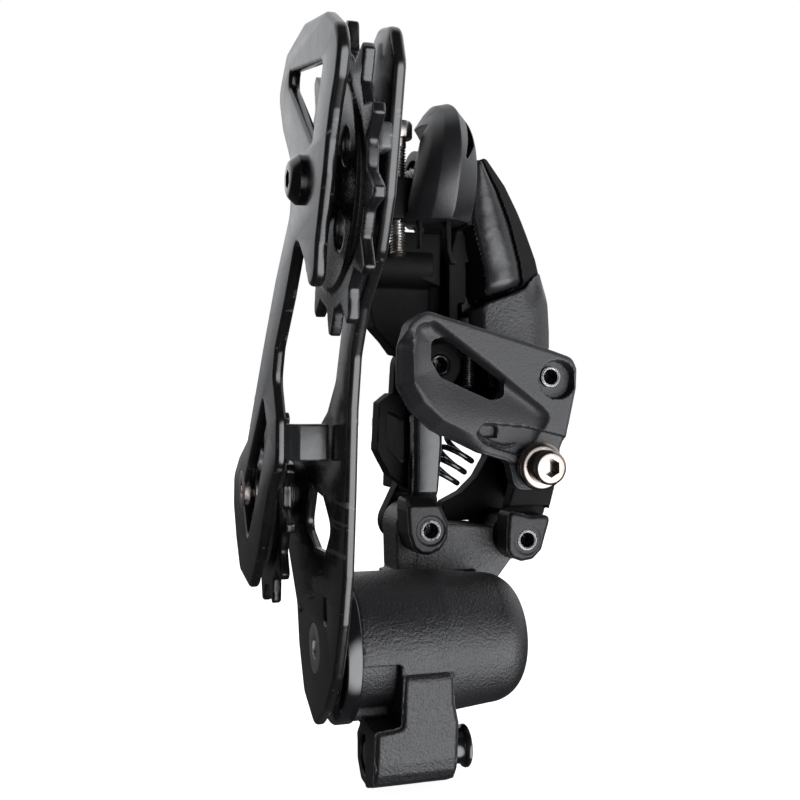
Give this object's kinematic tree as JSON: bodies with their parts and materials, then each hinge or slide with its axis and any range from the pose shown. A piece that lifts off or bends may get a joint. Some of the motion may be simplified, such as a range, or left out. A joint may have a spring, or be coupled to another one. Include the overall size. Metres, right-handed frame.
{
  "type": "rear bicycle derailleur",
  "caption": "Long-cage rear derailleur with clutch housing, parallelogram links, sprung cage, two jockey wheels and a cage lock button.",
  "frame": {"origin": "centre of the hanger face on the hanger bolt's axis", "axes": "+X outboard along the hanger bolt, +Z from the clutch housing up towards the hanger bolt, -Y towards the ground on a bicycle; the four link pins lie along Y"},
  "size_m": [0.0796, 0.1245, 0.1546],
  "materials": {
    "cast_alloy": "fine textured satin black",
    "cage_plate": "gloss black with slight scuffs",
    "ring_metal": "semi-gloss black",
    "moulded_plastic": "matt dark grey moulded",
    "pulley_plastic": "satin black moulded",
    "pin_steel": "black with machined bright rim",
    "black_steel": "gloss black",
    "bright_steel": "nickel plated"
  },
  "bodies": {
    "hanger": {"hanger_bolt": "bright_steel", "b_washer": "cast_alloy", "bolt_circlip": "bright_steel"},
    "clamp_body": {"b_knuckle": "cast_alloy", "knuckle_cover": "moulded_plastic", "cable_port": "moulded_plastic"},
    "angle_screw": {"b_screw": "bright_steel"},
    "high_screw": {"limit_screw_high": "bright_steel"},
    "low_screw": {"limit_screw_low": "bright_steel"},
    "inner_link": {"inner_link": "cast_alloy", "pin_inner_upper": "pin_steel", "pin_inner_lower": "pin_steel", "return_spring": "black_steel"},
    "outer_link": {"outer_link": "cast_alloy", "pin_outer_upper": "pin_steel", "pin_outer_lower": "pin_steel", "cable_fan": "moulded_plastic", "anchor_washer": "bright_steel", "anchor_bolt": "bright_steel"},
    "housing": {"p_knuckle": "cast_alloy", "housing_ring": "ring_metal", "clutch_band": "black_steel", "cage_spring": "bright_steel", "button_spring": "bright_steel"},
    "button": {"lock_button": "black_steel"},
    "cage": {"cage_axle": "bright_steel", "axle_screw": "bright_steel", "clutch_drum": "bright_steel", "inner_plate": "cage_plate", "outer_plate": "cage_plate", "stop_pin": "bright_steel", "guide_bushing": "bright_steel", "guide_shields": "bright_steel", "guide_bolt": "bright_steel", "tension_bushing": "bright_steel", "tension_shields": "bright_steel", "tension_bolt": "black_steel"},
    "guide_wheel": {"guide_pulley": "pulley_plastic"},
    "tension_wheel": {"tension_pulley": "pulley_plastic"}
  },
  "joints": [
    {"name": "body_angle", "type": "hinge", "parent": "hanger", "child": "clamp_body", "pos_m": [0, 0, 0], "axis": [1, 0, 0], "range_deg": [-12, 12]},
    {"name": "angle_screw_travel", "type": "slide", "parent": "clamp_body", "child": "angle_screw", "axis": [0, 0, 1], "range_m": [-0.003, 0.003]},
    {"name": "high_screw_travel", "type": "slide", "parent": "clamp_body", "child": "high_screw", "axis": [0, 0, 1], "range_m": [-0.0012, 0.0012]},
    {"name": "low_screw_travel", "type": "slide", "parent": "clamp_body", "child": "low_screw", "axis": [0, 0, 1], "range_m": [-0.0012, 0.0012]},
    {"name": "shift", "type": "hinge", "parent": "clamp_body", "child": "inner_link", "pos_m": [0.001, 0, -0.0455], "axis": [0, 1, 0], "range_deg": [-26, 32], "deforming": ["return_spring"]},
    {"name": "outer_link_swing", "type": "hinge", "parent": "clamp_body", "child": "outer_link", "pos_m": [0.025, 0, -0.0485], "axis": [0, 1, 0], "range_deg": [-26, 32]},
    {"name": "housing_level", "type": "hinge", "parent": "inner_link", "child": "housing", "pos_m": [-0.005, 0, -0.084], "axis": [0, 1, 0], "range_deg": [-32, 26]},
    {"name": "cage_swing", "type": "hinge", "parent": "housing", "child": "cage", "pos_m": [0, -0.038, -0.1073], "axis": [1, 0, 0], "range_deg": [0, 125], "stiffness_Nm_per_rad": 0.12, "springref_deg": -68.75, "deforming": ["cage_spring"]},
    {"name": "guide_spin", "type": "hinge", "parent": "cage", "child": "guide_wheel", "pos_m": [0, -0.008, -0.0754], "axis": [1, 0, 0], "continuous": true},
    {"name": "tension_spin", "type": "hinge", "parent": "cage", "child": "tension_wheel", "pos_m": [0, -0.0785, -0.0153], "axis": [1, 0, 0], "continuous": true},
    {"name": "lock_press", "type": "slide", "parent": "housing", "child": "button", "axis": [-1, 0, 0], "range_m": [0, 0.003], "stiffness_N_per_m": 500, "springref_m": -0.003, "deforming": ["button_spring"]}
  ],
  "couplings": [
    {"joint": "outer_link_swing", "follows": "shift", "ratio": 1},
    {"joint": "housing_level", "follows": "shift", "ratio": -1}
  ]
}
